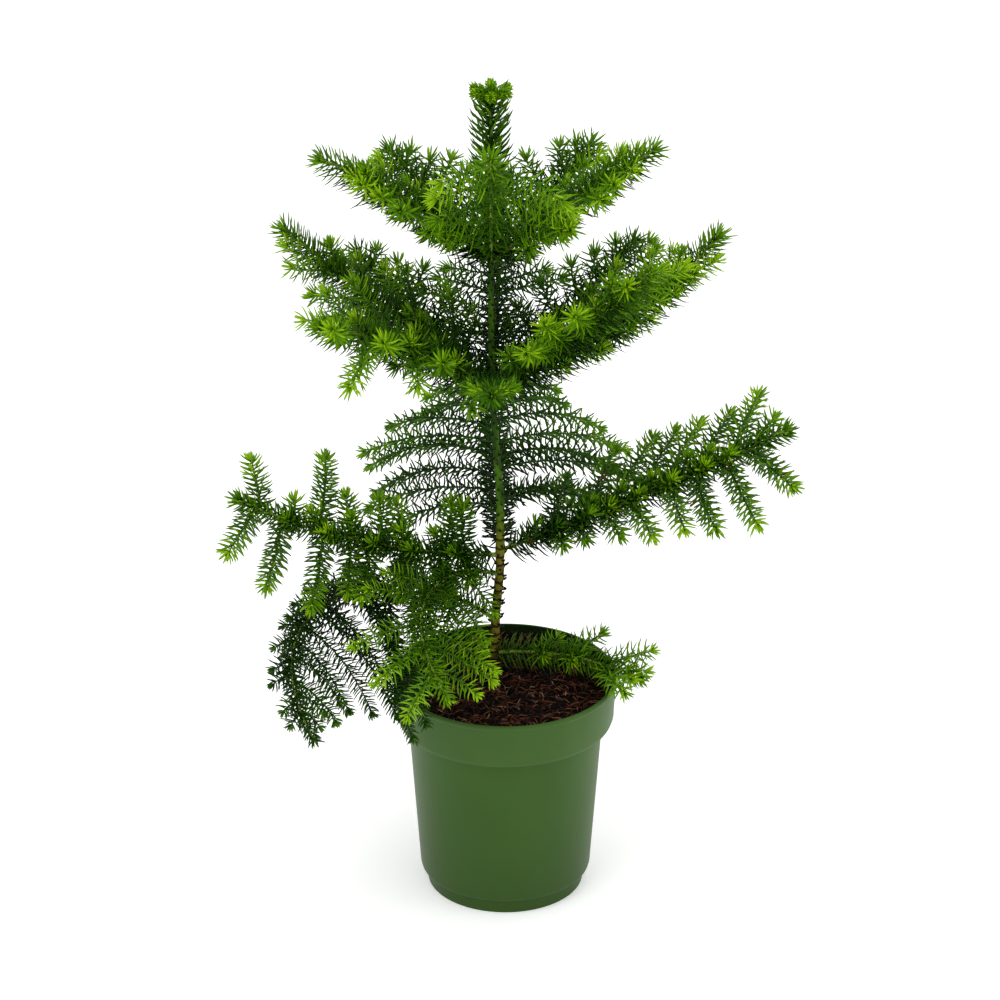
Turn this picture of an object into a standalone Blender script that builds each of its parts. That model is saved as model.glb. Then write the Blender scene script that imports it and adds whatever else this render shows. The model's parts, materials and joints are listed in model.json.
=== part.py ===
"""Potted Norfolk Island pine: a young conifer in a green plastic nursery pot.

One object for each sub-part: pot, soil, trunk, and for each bough its limb and the mass of needles that it
carries. The origin is the centre of the pot's underside, +Z is up, and -Y is the front. Units are metres.
"""

import math
import random

import bmesh
import bpy
from mathutils import Vector
from mathutils.bvhtree import BVHTree

# Pot, from its underside up
POT_HEIGHT = 0.1438
RIM_RADIUS = 0.0700
COLLAR_HEIGHT = 0.0305
COLLAR_FOOT_RADIUS = 0.0680
BODY_TOP_RADIUS = 0.0609
BODY_FOOT_RADIUS = 0.0537
BASE_RING_HEIGHT = 0.0101
BASE_RING_RADIUS = 0.0491
WALL = 0.0016
LIP_WIDTH = 0.0022
COLLAR_WALL = 0.0020
ROUNDING = 0.0040
EDGE = 0.0006
FLOOR = 0.0020
PAD_RADIUS = 0.0150
RECESS = 0.0025
RING_WIDTH = 0.0050
POT_STEPS = 30
DRAIN_COUNT = 6
DRAIN_RADIUS = 0.0045
DRAIN_CIRCLE = 0.0310

# Soil
SOIL_TOP = 0.1360
SOIL_EDGE_DROP = 0.0020
SOIL_SHOULDER = 0.0060

# Clear distance between pieces that meet, and round the soil
GAP = 0.0003
SOIL_GAP = 0.00045

# Trunk: it stands behind the pot's centre and leans a little to the left
TRUNK_DEPTH = 0.0177
TRUNK_TOP = 0.5262
TRUNK_LEAN = ((0.136, -0.0070), (0.176, -0.0062), (0.208, -0.0034), (0.256, -0.0031),
              (0.324, -0.0080), (0.365, -0.0088), (0.540, -0.0088))
TRUNK_FOOT_RADIUS = 0.0031
TRUNK_TIP_RADIUS = 0.0012
ROOT_FLARE = 0.0009
FLARE_HEIGHT = 0.0060
WHORL_SWELLING = 0.0004
WHORL_SPAN = 0.0050
TRUNK_PITCH = 0.0180
TRUNK_CLOSEST = 0.0025

# Heights of the whorls, and how far a whorl's boughs stand above and below that
UPPER = 0.4176
MIDDLE = 0.3333
LOWER = 0.2232
STAGGER = 0.0015

# Limbs and needles
LIMB_RADIUS = 0.00100
LIMB_END_RADIUS = 0.00080
LIMB_STEPS = 4
STEM_BEFORE = 0.05
STEM_CORE = 0.00150
STEM_TIP_CORE = 0.00080
TWIG_CORE = 0.00120
TWIG_TIP_CORE = 0.00065
NEEDLE = 0.0082
NEEDLE_STAND = 52.0
RING_PITCH = 0.0190
CLEARANCE = 0.0004
PATH_STEPS = 24
TWIG_STEPS = 8
SHORTER = (1.0, 0.72, 0.48)
SHORTEST_TWIG = 0.011
TWIG_JITTER = 0.07
TWIG_SHIFT = 0.2
LAST_TWIG = 0.94
NEEDLE_TAPER = 0.25
END_NEEDLE = 0.75
CLEARING_TRIES = 4
MERGES = (0.00003, 0.00001, 0.000002, 0.0)
SEED = 11

# Leader: the shoot above the upper whorl, and the buds of the next whorl on its tip
LEADER_FOOT = 0.4290
LEADER_CORE = 0.0031
LEADER_NEEDLE = 0.0120
LEADER_RINGS = 8
LEADER_SIDES = 6
LEADER_TAPER = 0.8
LEADER_STAND = 42.0
LEADER_BORE_GAP = 0.0004
BUD_COUNT = 6
BUD_LENGTH = 0.0080
BUD_RISE = 28.0
BUD_STAND = 40.0
BUD_NEEDLE = 0.0042
BUD_CORE = 0.0016
TERMINAL_BUD_CORE = 0.0021
TERMINAL_BUD_HEIGHT = 0.0050


def bough(height, azimuth, length, rise, tip_rise, longest, **other):
    # azimuth runs anticlockwise from +X, seen from above. rise is the climb where the limb leaves the
    # trunk, and tip_rise the climb at its end, both in degrees. longest is the longest side twig. left
    # and right scale the twigs of one side, and the shares, where they are given, set each of them.
    # left_wider and right_wider turn one side's twigs further out, and swing lifts and lowers the twigs
    # by turns.
    shape = dict(height=height, azimuth=azimuth, length=length, rise=rise, tip_rise=tip_rise,
                 longest=longest, swerve=0.0, roll=0.0, pairs=5, first_at=0.24, last_at=0.86, peak=0.35,
                 first=0.80, last=0.40, spread=75.0, tip_spread=50.0, forward=0.3, lift=0.0, swing=0.0,
                 left=1.0, right=1.0, left_lift=0.0, right_lift=0.0, left_wider=0.0, right_wider=0.0,
                 left_shares=None, right_shares=None)
    shape.update(other)
    return shape


BOUGHS = {
    "upper_left": bough(UPPER + STAGGER, 195, 0.130, 45, 26, 0.042, roll=-12, lift=0.15, right=0.5,
                        last_at=0.74),
    "upper_right": bough(UPPER - STAGGER, -18, 0.134, 44, 36, 0.042, roll=12, lift=0.15, left=0.8,
                         last_at=0.78),
    "upper_front": bough(UPPER, -90, 0.131, 52, 48, 0.050, lift=-0.6, left_lift=-0.3, spread=70,
                         tip_spread=100, left_shares=(0.68, 0.8, 0.93, 0.98, 0.98),
                         right_shares=(0.45, 0.55, 0.65, 0.7, 0.62)),
    "upper_back_left": bough(UPPER - STAGGER, 128, 0.110, 24, 20, 0.038, lift=0.15, pairs=4, last_at=0.82),
    "upper_back_right": bough(UPPER + STAGGER, 52, 0.110, 24, 22, 0.038, lift=0.15, pairs=4, last_at=0.82),
    "middle_left": bough(MIDDLE + STAGGER, 165, 0.160, 32, 36, 0.056, roll=-8, lift=0.2, last_at=0.72,
                         left_shares=(0.8, 0.95, 0.85, 0.8, 0.6), right_shares=(0.9, 0.9, 0.7, 0.5, 0.35)),
    "middle_front_left": bough(MIDDLE - STAGGER, 213, 0.144, 40, 20, 0.056, roll=-12, lift=0.1, swing=0.6,
                               pairs=6, left_shares=(0.6, 0.8, 0.6, 0.8, 1.2, 0.8)),
    "middle_front": bough(MIDDLE + STAGGER, -90, 0.112, 21, 21, 0.022, lift=0.3, pairs=4, last_at=0.80),
    "middle_front_right": bough(MIDDLE - STAGGER, -30, 0.150, 38, 48, 0.050, roll=-14, lift=0.2, left=1.4,
                                swing=0.3, last_at=0.82),
    "middle_right": bough(MIDDLE + STAGGER, 10, 0.169, 15, 50, 0.055, roll=6, lift=0.2, last_at=0.74,
                          right_shares=(0.32, 0.38, 0.38, 0.36, 0.38)),
    "middle_back_right": bough(MIDDLE - STAGGER, 50, 0.150, 20, 22, 0.048, lift=0.4, left=0.75,
                               right=1.15, last_at=0.84),
    "middle_back": bough(MIDDLE + STAGGER, 88, 0.130, 18, 18, 0.052, lift=-0.3, spread=85, tip_spread=60,
                         pairs=4),
    "middle_back_left": bough(MIDDLE - STAGGER, 130, 0.142, 20, 20, 0.045, lift=0.4, right=0.75,
                              last_at=0.84),
    "lower_left": bough(LOWER - 3 * STAGGER, 186, 0.172, 2, 30, 0.066, roll=-30, lift=0.1, pairs=7,
                        first_at=0.24, last_at=0.90, spread=100, tip_spread=82, forward=0.2, left_wider=6,
                        left_shares=(0.5, 0.6, 0.68, 0.62, 0.82, 0.85, 0.6),
                        right_shares=(0.43, 0.5, 0.5, 0.45, 0.85, 0.25, 0.57)),
    "lower_right": bough(LOWER - STAGGER, 0, 0.196, 22, 28, 0.062, roll=10, lift=0.1, pairs=8, spread=74,
                         tip_spread=62, first_at=0.17, last_at=0.88, right_lift=-0.5, right_wider=18,
                         left_shares=(0.7, 0.95, 1.0, 0.9, 0.85, 0.85, 0.92, 0.4),
                         right_shares=(0.28, 0.3, 0.4, 0.58, 0.6, 0.95, 0.92, 0.82)),
    "lower_back": bough(LOWER + STAGGER, 92, 0.185, 11, 11, 0.104, lift=-0.9, forward=0.0, spread=60,
                        tip_spread=50, last=0.55, last_at=0.88, pairs=7),
    "lower_front": bough(0.2050, 200, 0.150, 22, -46, 0.060, swerve=115, roll=-10, lift=-0.2, pairs=6,
                         last_at=0.85, spread=95, left_lift=-0.2, right_lift=0.2,
                         left_shares=(0.65, 0.98, 1.08, 1.08, 0.83, 0.6),
                         right_shares=(0.47, 0.53, 0.65, 0.86, 0.8, 0.55)),
    "basal_left": bough(0.1730, 157, 0.243, 29, -36, 0.105, swerve=150, pairs=10, first_at=0.13,
                        last_at=0.92, spread=84, tip_spread=66, forward=0.1, lift=-0.4, left_lift=-1.0,
                        left_shares=(0.55, 0.7, 0.85, 1.0, 1.0, 0.85, 0.65, 0.42, 0.28, 0.15),
                        right_shares=(0.5, 0.5, 0.42, 0.3, 0.2, 0.14, 0.12, 0.12, 0.12, 0.1)),
    "basal_right": bough(0.1500, -15, 0.099, 12, -14, 0.040, swerve=-8, lift=0.2, first_at=0.3, pairs=4,
                         last_at=0.90, spread=62, left_shares=(0.5, 1.0, 0.5, 0.3),
                         right_shares=(0.3, 0.5, 1.1, 0.3)),
}


def clear_scene():
    for old in list(bpy.data.objects):
        bpy.data.objects.remove(old, do_unlink=True)


def new_collection(name):
    made = bpy.data.collections.new(name)
    bpy.context.scene.collection.children.link(made)
    return made


def principled(name, colour, roughness):
    material = bpy.data.materials.new(name)
    material.use_nodes = True
    shader = material.node_tree.nodes["Principled BSDF"]
    shader.inputs["Base Color"].default_value = (*colour, 1.0)
    shader.inputs["Roughness"].default_value = roughness
    shader.inputs["Metallic"].default_value = 0.0
    return material


def object_from_bmesh(name, bm, collection, material):
    mesh = bpy.data.meshes.new(name)
    bm.to_mesh(mesh)
    bm.free()
    mesh.materials.append(material)
    made = bpy.data.objects.new(name, mesh)
    collection.objects.link(made)
    return made


def turned(name, profile, collection, material):
    # A closed profile of (radius, height) points, listed top to bottom on its outer side
    bm = bmesh.new()
    corners = [bm.verts.new((radius, 0.0, height)) for radius, height in profile]
    for first, second in zip(corners, corners[1:]):
        bm.edges.new((first, second))
    made = object_from_bmesh(name, bm, collection, material)
    screw = made.modifiers.new("Turn", "SCREW")
    screw.steps = POT_STEPS
    screw.render_steps = POT_STEPS
    screw.use_merge_vertices = True
    screw.merge_threshold = 0.0001
    return made


def evaluated_copy(source):
    bpy.context.view_layer.update()
    return bpy.data.meshes.new_from_object(source.evaluated_get(bpy.context.evaluated_depsgraph_get()))


def build_pot(collection, cutters):
    material = principled("pot_plastic", (0.050, 0.105, 0.034), 0.42)
    collar_foot = POT_HEIGHT - COLLAR_HEIGHT
    floor_top = RECESS + FLOOR
    ring_inner = BASE_RING_RADIUS - RING_WIDTH
    outside = [(RIM_RADIUS - EDGE, POT_HEIGHT), (RIM_RADIUS, POT_HEIGHT - EDGE),
               (RIM_RADIUS - EDGE / 2, POT_HEIGHT - 4 * EDGE), (COLLAR_FOOT_RADIUS, collar_foot + ROUNDING),
               (COLLAR_FOOT_RADIUS - 2 * EDGE, collar_foot + EDGE), (BODY_TOP_RADIUS, collar_foot),
               (BODY_FOOT_RADIUS, BASE_RING_HEIGHT + ROUNDING / 2),
               (BODY_FOOT_RADIUS - ROUNDING / 2, BASE_RING_HEIGHT),
               (BASE_RING_RADIUS + EDGE / 2, BASE_RING_HEIGHT - EDGE), (BASE_RING_RADIUS, 0.0)]
    underside = [(ring_inner, 0.0), (ring_inner - EDGE, RECESS), (PAD_RADIUS + 2 * EDGE, RECESS),
                 (PAD_RADIUS, 0.0), (0.0, 0.0)]
    inside = [(0.0, floor_top), (ring_inner, floor_top), (BASE_RING_RADIUS - WALL, BASE_RING_HEIGHT * 0.7),
              (BODY_FOOT_RADIUS - WALL, BASE_RING_HEIGHT + ROUNDING),
              (BODY_TOP_RADIUS - WALL, collar_foot + 2 * EDGE),
              (COLLAR_FOOT_RADIUS - COLLAR_WALL, collar_foot + ROUNDING * 1.5),
              (RIM_RADIUS - LIP_WIDTH, POT_HEIGHT - EDGE)]
    pot = turned("pot", outside + underside + inside + outside[:1], collection, material)
    for index in range(DRAIN_COUNT):
        turn = 2.0 * math.pi * index / DRAIN_COUNT
        bm = bmesh.new()
        bmesh.ops.create_cone(bm, cap_ends=True, segments=8, radius1=DRAIN_RADIUS, radius2=DRAIN_RADIUS,
                              depth=4.0 * FLOOR)
        hole = object_from_bmesh(f"drain_cutter_{index}", bm, cutters, material)
        hole.location = (DRAIN_CIRCLE * math.cos(turn), DRAIN_CIRCLE * math.sin(turn), RECESS + FLOOR / 2)
        hole.hide_render = True
        hole.display_type = "WIRE"
    cut = pot.modifiers.new("Drain holes", "BOOLEAN")
    cut.operation = "DIFFERENCE"
    cut.operand_type = "COLLECTION"
    cut.collection = cutters
    return pot


def build_soil(collection):
    # It fills the pot and follows the inside of its wall, a hair clear of it
    material = principled("soil", (0.020, 0.012, 0.008), 0.95)
    collar_foot = POT_HEIGHT - COLLAR_HEIGHT
    foot = RECESS + FLOOR + SOIL_GAP
    edge = RIM_RADIUS - LIP_WIDTH - 3 * SOIL_GAP
    profile = [(0.0, SOIL_TOP), (edge - SOIL_SHOULDER, SOIL_TOP), (edge, SOIL_TOP - SOIL_EDGE_DROP),
               (COLLAR_FOOT_RADIUS - COLLAR_WALL - SOIL_GAP, collar_foot + ROUNDING * 1.6),
               (BODY_TOP_RADIUS - WALL - SOIL_GAP, collar_foot + 3 * EDGE),
               (BODY_FOOT_RADIUS - WALL - SOIL_GAP, BASE_RING_HEIGHT + ROUNDING),
               (BASE_RING_RADIUS - RING_WIDTH - SOIL_GAP, foot), (0.0, foot)]
    return turned("soil", profile, collection, material)


def trunk_offset(height):
    for (low, x_low), (high, x_high) in zip(TRUNK_LEAN, TRUNK_LEAN[1:]):
        if height <= high:
            return x_low + (x_high - x_low) * max(0.0, height - low) / (high - low)
    return TRUNK_LEAN[-1][1]


def trunk_centre(height):
    return Vector((trunk_offset(height), TRUNK_DEPTH, height))


def trunk_radius(height):
    along = (height - SOIL_TOP) / (TRUNK_TOP - SOIL_TOP)
    radius = TRUNK_FOOT_RADIUS + (TRUNK_TIP_RADIUS - TRUNK_FOOT_RADIUS) * along
    radius += ROOT_FLARE * math.exp(-(height - SOIL_TOP) / FLARE_HEIGHT)
    for whorl in (UPPER, MIDDLE, LOWER):
        radius += WHORL_SWELLING * math.exp(-((height - whorl) / WHORL_SPAN) ** 2)
    return radius


def tube(name, points, radii, resolution, collection, material):
    curve = bpy.data.curves.new(name, "CURVE")
    curve.dimensions = "3D"
    curve.bevel_depth = radii[0]
    curve.bevel_resolution = resolution
    curve.use_fill_caps = True
    spline = curve.splines.new("POLY")
    spline.points.add(len(points) - 1)
    for knot, place, radius in zip(spline.points, points, radii):
        knot.co = (*place, 1.0)
        knot.radius = radius / radii[0]
    curve.materials.append(material)
    made = bpy.data.objects.new(name, curve)
    collection.objects.link(made)
    return made


def build_trunk(collection):
    material = principled("trunk_bark", (0.085, 0.085, 0.030), 0.75)
    foot = SOIL_TOP + GAP
    heights = [foot, foot + 0.0030, foot + 0.0080]
    while heights[-1] + TRUNK_PITCH < TRUNK_TOP:
        heights.append(heights[-1] + TRUNK_PITCH)
    for whorl in (UPPER, MIDDLE, LOWER):
        heights += [whorl - WHORL_SPAN, whorl, whorl + WHORL_SPAN]
    heights = sorted(heights + [TRUNK_TOP])
    spaced = [heights[0]]
    for height in heights[1:]:
        if height - spaced[-1] > TRUNK_CLOSEST:
            spaced.append(height)
    points = [trunk_centre(height) for height in spaced]
    points[1].x = points[0].x
    return tube("trunk", points, [trunk_radius(height) for height in spaced], 2, collection, material)


def heading(azimuth, rise):
    turn, climb = math.radians(azimuth), math.radians(rise)
    return Vector((math.cos(turn) * math.cos(climb), math.sin(turn) * math.cos(climb), math.sin(climb)))


def bough_path(shape):
    points = [trunk_centre(shape["height"])]
    for step in range(PATH_STEPS):
        along = (step + 0.5) / PATH_STEPS
        way = heading(shape["azimuth"] + shape["swerve"] * along,
                      shape["rise"] + (shape["tip_rise"] - shape["rise"]) * along)
        points.append(points[-1] + way * shape["length"] / PATH_STEPS)
    return points


def point_at(path, along):
    place = min(max(along, 0.0), 1.0) * (len(path) - 1)
    index = min(int(place), len(path) - 2)
    return path[index].lerp(path[index + 1], place - index), (path[index + 1] - path[index]).normalized()


def stretch(path, start, end, steps):
    return [point_at(path, start + (end - start) * step / steps)[0] for step in range(steps + 1)]


def frond_side(tangent, roll):
    # The direction across the frond, to the right of the limb as it leaves the trunk
    side = tangent.cross(Vector((0.0, 0.0, 1.0))).normalized()
    turn = math.radians(roll)
    return side * math.cos(turn) + tangent.cross(side) * math.sin(turn)


def twig_path(shape, path, along, hand, length, spread, lift):
    root, tangent = point_at(path, along)
    across = frond_side(tangent, shape["roll"]) * hand
    lean = math.radians(spread)
    way = tangent * math.cos(lean) + across * math.sin(lean)
    bend = tangent * shape["forward"] + Vector((0.0, 0.0, lift))
    points = [root]
    for step in range(TWIG_STEPS):
        turned_way = (way + bend * (step + 0.5) / TWIG_STEPS).normalized()
        points.append(points[-1] + turned_way * length / TWIG_STEPS)
    return points


def twig_plan(shape, path, chance):
    # Pairs of side twigs: they lengthen out to the frond's widest place and shorten towards its tip
    plan = []
    for pair in range(shape["pairs"]):
        part = pair / (shape["pairs"] - 1)
        if part < shape["peak"]:
            wave = math.sin(0.5 * math.pi * part / shape["peak"])
            share = shape["first"] + (1.0 - shape["first"]) * wave
        else:
            wave = math.cos(0.5 * math.pi * (part - shape["peak"]) / (1.0 - shape["peak"]))
            share = shape["last"] + (1.0 - shape["last"]) * wave
        along = shape["first_at"] + (shape["last_at"] - shape["first_at"]) * part
        spread = shape["spread"] + (shape["tip_spread"] - shape["spread"]) * part
        for hand, side in ((1, "right"), (-1, "left")):
            shares = shape[side + "_shares"]
            length = (shares[pair] if shares else share * shape[side]) * shape["longest"]
            length *= 1.0 + chance.uniform(-TWIG_JITTER, TWIG_JITTER)
            turn = 1 if (pair % 2 == 0) == (hand == 1) else -1
            lift = shape["lift"] + shape[side + "_lift"] + shape["swing"] * turn
            pitch = (shape["last_at"] - shape["first_at"]) / shape["pairs"]
            shifted = along + pitch * chance.uniform(-TWIG_SHIFT, TWIG_SHIFT)
            wider = spread + shape[side + "_wider"]
            plan.append(twig_path(shape, path, min(shifted, LAST_TWIG), hand, length, wider, lift))
    return plan


def path_length(path):
    return sum((second - first).length for first, second in zip(path, path[1:]))


def spray(path, up, core, tip_core, needle, left_out=(), sides=3, rings=None, grow=0.0, stand=NEEDLE_STAND):
    # A slim core along the path. Each of its side faces is drawn out to a needle's point, as is its end.
    rings = rings or max(1, round(path_length(path) / RING_PITCH))
    bm = bmesh.new()
    bmesh.ops.create_cone(bm, cap_ends=True, segments=sides, radius1=1.0, radius2=1.0, depth=1.0)
    lengthwise = [edge for edge in bm.edges if abs(edge.verts[0].co.z - edge.verts[1].co.z) > 0.5]
    bmesh.ops.subdivide_edges(bm, edges=lengthwise, cuts=rings - 1, use_grid_fill=True)
    number = bm.faces.layers.int.new("needle")
    bm.normal_update()
    walls = []
    for face in bm.faces:
        centre = face.calc_center_median()
        face[number] = -1
        if abs(face.normal.z) < 0.5:
            slot = int(round(math.atan2(centre.y, centre.x) / (2.0 * math.pi) * sides * 2.0)) % (2 * sides)
            face[number] = int((centre.z + 0.5) * rings) * 2 * sides + slot
            walls.append(face)
        elif centre.z > 0.0:
            end = face
    turn = math.radians(30.0 if sides == 3 else 0.0)
    for vert in bm.verts:
        along = vert.co.z + 0.5
        centre, tangent = point_at(path, along)
        side = tangent.cross(up).normalized()
        over = side.cross(tangent)
        angle = math.atan2(vert.co.y, vert.co.x) + turn
        radius = core + (tip_core - core) * along + grow
        vert.co = centre + (side * math.cos(angle) + over * math.sin(angle)) * radius
    kept = [face for face in walls if face[number] not in left_out]
    lean = math.radians(stand)
    for vert in bmesh.ops.poke(bm, faces=kept)["verts"]:
        ring = vert.link_faces[0][number] // (2 * sides)
        along = (ring + 0.5) / rings
        centre, tangent = point_at(path, along)
        chord = point_at(path, ring / rings)[0].lerp(point_at(path, (ring + 1) / rings)[0], 0.5)
        outward = (vert.co - chord).normalized()
        reach = needle * (1.0 - NEEDLE_TAPER * along) + grow
        vert.co += centre - chord + outward * reach * math.sin(lean) + tangent * reach * math.cos(lean)
    for vert in bmesh.ops.poke(bm, faces=[end])["verts"]:
        vert.co += point_at(path, 1.0)[1] * (END_NEEDLE * needle + grow)
    bmesh.ops.reverse_faces(bm, faces=bm.faces)
    return bm


class Standing:
    # What already stands, as search trees, so that a later twig keeps clear of it

    def __init__(self):
        self.items = []

    def add(self, owner, verts, faces):
        centre = sum(verts, Vector()) / len(verts)
        reach = max((vert - centre).length for vert in verts)
        self.items.append((owner, BVHTree.FromPolygons(verts, faces), centre, reach))

    def add_bmesh(self, owner, bm):
        bm.verts.index_update()
        self.add(owner, [vert.co.copy() for vert in bm.verts],
                 [[vert.index for vert in face.verts] for face in bm.faces])

    def add_object(self, made):
        mesh = evaluated_copy(made)
        self.add(made.name, [vert.co.copy() for vert in mesh.vertices],
                 [list(face.vertices) for face in mesh.polygons])
        bpy.data.meshes.remove(mesh)

    def needles_touched(self, owner, bm):
        number = bm.faces.layers.int["needle"]
        bm.faces.ensure_lookup_table()
        tree = BVHTree.FromBMesh(bm)
        centre = sum((vert.co for vert in bm.verts), Vector()) / len(bm.verts)
        reach = max((vert.co - centre).length for vert in bm.verts)
        touched = set()
        for other, other_tree, other_centre, other_reach in self.items:
            if other == owner or (other_centre - centre).length > reach + other_reach:
                continue
            touched.update(bm.faces[mine][number] for mine, _ in tree.overlap(other_tree))
        return touched


def clear_spray(standing, owner, path, up, core, tip_core, needle):
    # The spray without the needles that would touch another piece, or None where its core would
    left_out = set()
    for _ in range(CLEARING_TRIES):
        wide = spray(path, up, core, tip_core, needle, left_out, grow=CLEARANCE)
        touched = standing.needles_touched(owner, wide)
        wide.free()
        if not touched:
            return spray(path, up, core, tip_core, needle, left_out)
        if touched & left_out or -1 in touched:
            return None
        left_out |= touched
    return None


def build_limb(name, shape, path, collection, material):
    climb = math.radians(shape["rise"])
    leave = (trunk_radius(shape["height"]) + GAP + LIMB_RADIUS * abs(math.sin(climb))) / math.cos(climb)
    start = leave / shape["length"]
    points = stretch(path, start, shape["first_at"] - STEM_BEFORE, LIMB_STEPS)
    taper = (LIMB_END_RADIUS - LIMB_RADIUS) / LIMB_STEPS
    radii = [LIMB_RADIUS + taper * step for step in range(LIMB_STEPS + 1)]
    return tube("bough_" + name, points, radii, 1, collection, material)


def largest_shell(bm):
    # Needles that cross can shut a small hollow in or leave a loose scrap: only the outer skin is kept
    unseen = set(bm.faces)
    shells = []
    while unseen:
        shell, front = [], [unseen.pop()]
        while front:
            face = front.pop()
            shell.append(face)
            for edge in face.edges:
                for other in edge.link_faces:
                    if other in unseen and len(edge.link_faces) == 2:
                        unseen.remove(other)
                        front.append(other)
        shells.append(shell)
    shells.sort(key=len)
    for shell in shells[:-1]:
        bmesh.ops.delete(bm, geom=shell, context="FACES")


def clean_join(mesh):
    # A union leaves some corners a hair apart. The widest merge that keeps the skin closed is used.
    for merge in MERGES:
        bm = bmesh.new()
        bm.from_mesh(mesh)
        bmesh.ops.remove_doubles(bm, verts=bm.verts, dist=merge)
        bmesh.ops.dissolve_degenerate(bm, edges=bm.edges, dist=merge)
        bmesh.ops.triangulate(bm, faces=bm.faces)
        largest_shell(bm)
        closed = all(corner.is_manifold for corner in [*bm.edges, *bm.verts])
        if closed:
            bm.to_mesh(mesh)
        bm.free()
        if closed:
            return


def join_mass(name, sprays, collection, material):
    # The first spray is the stem, and one union joins the others to it
    parts = new_collection(name + "_parts")
    mass = object_from_bmesh(name, sprays[0], collection, material)
    for index, bm in enumerate(sprays[1:]):
        object_from_bmesh(f"{name}_part_{index}", bm, parts, material)
    join = mass.modifiers.new("Join", "BOOLEAN")
    join.operation = "UNION"
    join.solver = "MANIFOLD"
    join.operand_type = "COLLECTION"
    join.collection = parts
    joined = evaluated_copy(mass)
    clean_join(joined)
    mass.modifiers.clear()
    mass.data = joined
    for part in list(parts.objects):
        bpy.data.objects.remove(part, do_unlink=True)
    bpy.data.collections.remove(parts)
    return mass


def build_leader(collection, cutters, standing, material):
    # A sleeve of needles round the trunk's top shoot, cut clear of the shoot itself
    path = [trunk_centre(LEADER_FOOT), trunk_centre(TRUNK_TOP - 0.0040)]
    sleeve = spray(path, Vector((0.0, -1.0, 0.0)), LEADER_CORE, LEADER_CORE * LEADER_TAPER, LEADER_NEEDLE,
                   sides=LEADER_SIDES, rings=LEADER_RINGS, stand=LEADER_STAND)
    standing.add_bmesh("foliage_leader", sleeve)
    leader = object_from_bmesh("foliage_leader", sleeve, collection, material)
    bm = bmesh.new()
    length = TRUNK_TOP - LEADER_FOOT + 0.040
    bmesh.ops.create_cone(bm, cap_ends=True, segments=8, depth=length,
                          radius1=trunk_radius(LEADER_FOOT) + LEADER_BORE_GAP,
                          radius2=TRUNK_TIP_RADIUS + LEADER_BORE_GAP)
    bore = object_from_bmesh("leader_bore", bm, cutters, material)
    bore.location = trunk_centre(LEADER_FOOT - 0.0050)
    bore.location.z += length / 2
    bore.hide_render = True
    bore.display_type = "WIRE"
    cut = leader.modifiers.new("Bore", "BOOLEAN")
    cut.operation = "DIFFERENCE"
    cut.object = bore
    return leader


def build_top_bud(collection, material):
    # The terminal bud, in a ring of the short buds that will be the next whorl
    foot = trunk_centre(TRUNK_TOP + GAP)
    up = Vector((0.0, -1.0, 0.0))
    head = foot + Vector((0.0, 0.0, TERMINAL_BUD_HEIGHT))
    sprays = [spray([foot, head], up, TERMINAL_BUD_CORE, BUD_CORE, BUD_NEEDLE, rings=2, sides=5,
                    stand=BUD_STAND)]
    for index in range(BUD_COUNT):
        way = heading(360.0 * (index + 0.5) / BUD_COUNT, BUD_RISE)
        root = foot.lerp(head, 0.5)
        sprays.append(spray([root, root + way * BUD_LENGTH], Vector((0.0, 0.0, 1.0)), BUD_CORE,
                            TWIG_CORE, BUD_NEEDLE, rings=2, stand=BUD_STAND))
    return join_mass("top_bud", sprays, collection, material)


def main():
    clear_scene()
    plant = new_collection("norfolk_island_pine")
    drains = new_collection("drain_cutters")
    bores = new_collection("bore_cutters")
    standing = Standing()
    for made in (build_pot(plant, drains), build_soil(plant), build_trunk(plant)):
        standing.add_object(made)

    wood = principled("bough_wood", (0.060, 0.090, 0.025), 0.70)
    green = principled("needles", (0.045, 0.150, 0.012), 0.55)
    bright = principled("young_needles", (0.130, 0.300, 0.020), 0.55)
    paths = {name: bough_path(shape) for name, shape in BOUGHS.items()}
    for name, shape in BOUGHS.items():
        standing.add_object(build_limb(name, shape, paths[name], plant, wood))
    build_leader(plant, bores, standing, green)

    masses = {}
    for name, shape in BOUGHS.items():
        path = paths[name]
        up = frond_side(point_at(path, 0.5)[1], shape["roll"]).cross(point_at(path, 0.5)[1])
        stem = stretch(path, shape["first_at"] - STEM_BEFORE + GAP / shape["length"], 1.0, PATH_STEPS)
        bm = clear_spray(standing, name, stem, up, STEM_CORE, STEM_TIP_CORE, NEEDLE)
        standing.add_bmesh(name, bm)
        masses[name] = (up, [bm])

    chance = random.Random(SEED)
    plans = {name: twig_plan(shape, paths[name], chance) for name, shape in BOUGHS.items()}
    for turn in range(max(len(plan) for plan in plans.values())):
        for name, plan in plans.items():
            if turn >= len(plan):
                continue
            up, sprays = masses[name]
            for share in SHORTER:
                path = stretch(plan[turn], 0.0, share, TWIG_STEPS)
                if path_length(path) < SHORTEST_TWIG:
                    break
                bm = clear_spray(standing, name, path, up, TWIG_CORE, TWIG_TIP_CORE, NEEDLE)
                if bm:
                    standing.add_bmesh(name, bm)
                    sprays.append(bm)
                    break

    for name, (_, sprays) in masses.items():
        join_mass("foliage_" + name, sprays, plant, green)
    build_top_bud(plant, bright)


main()
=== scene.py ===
import json
import math

import bmesh
import bpy
import numpy as np
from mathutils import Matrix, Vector, noise

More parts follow.
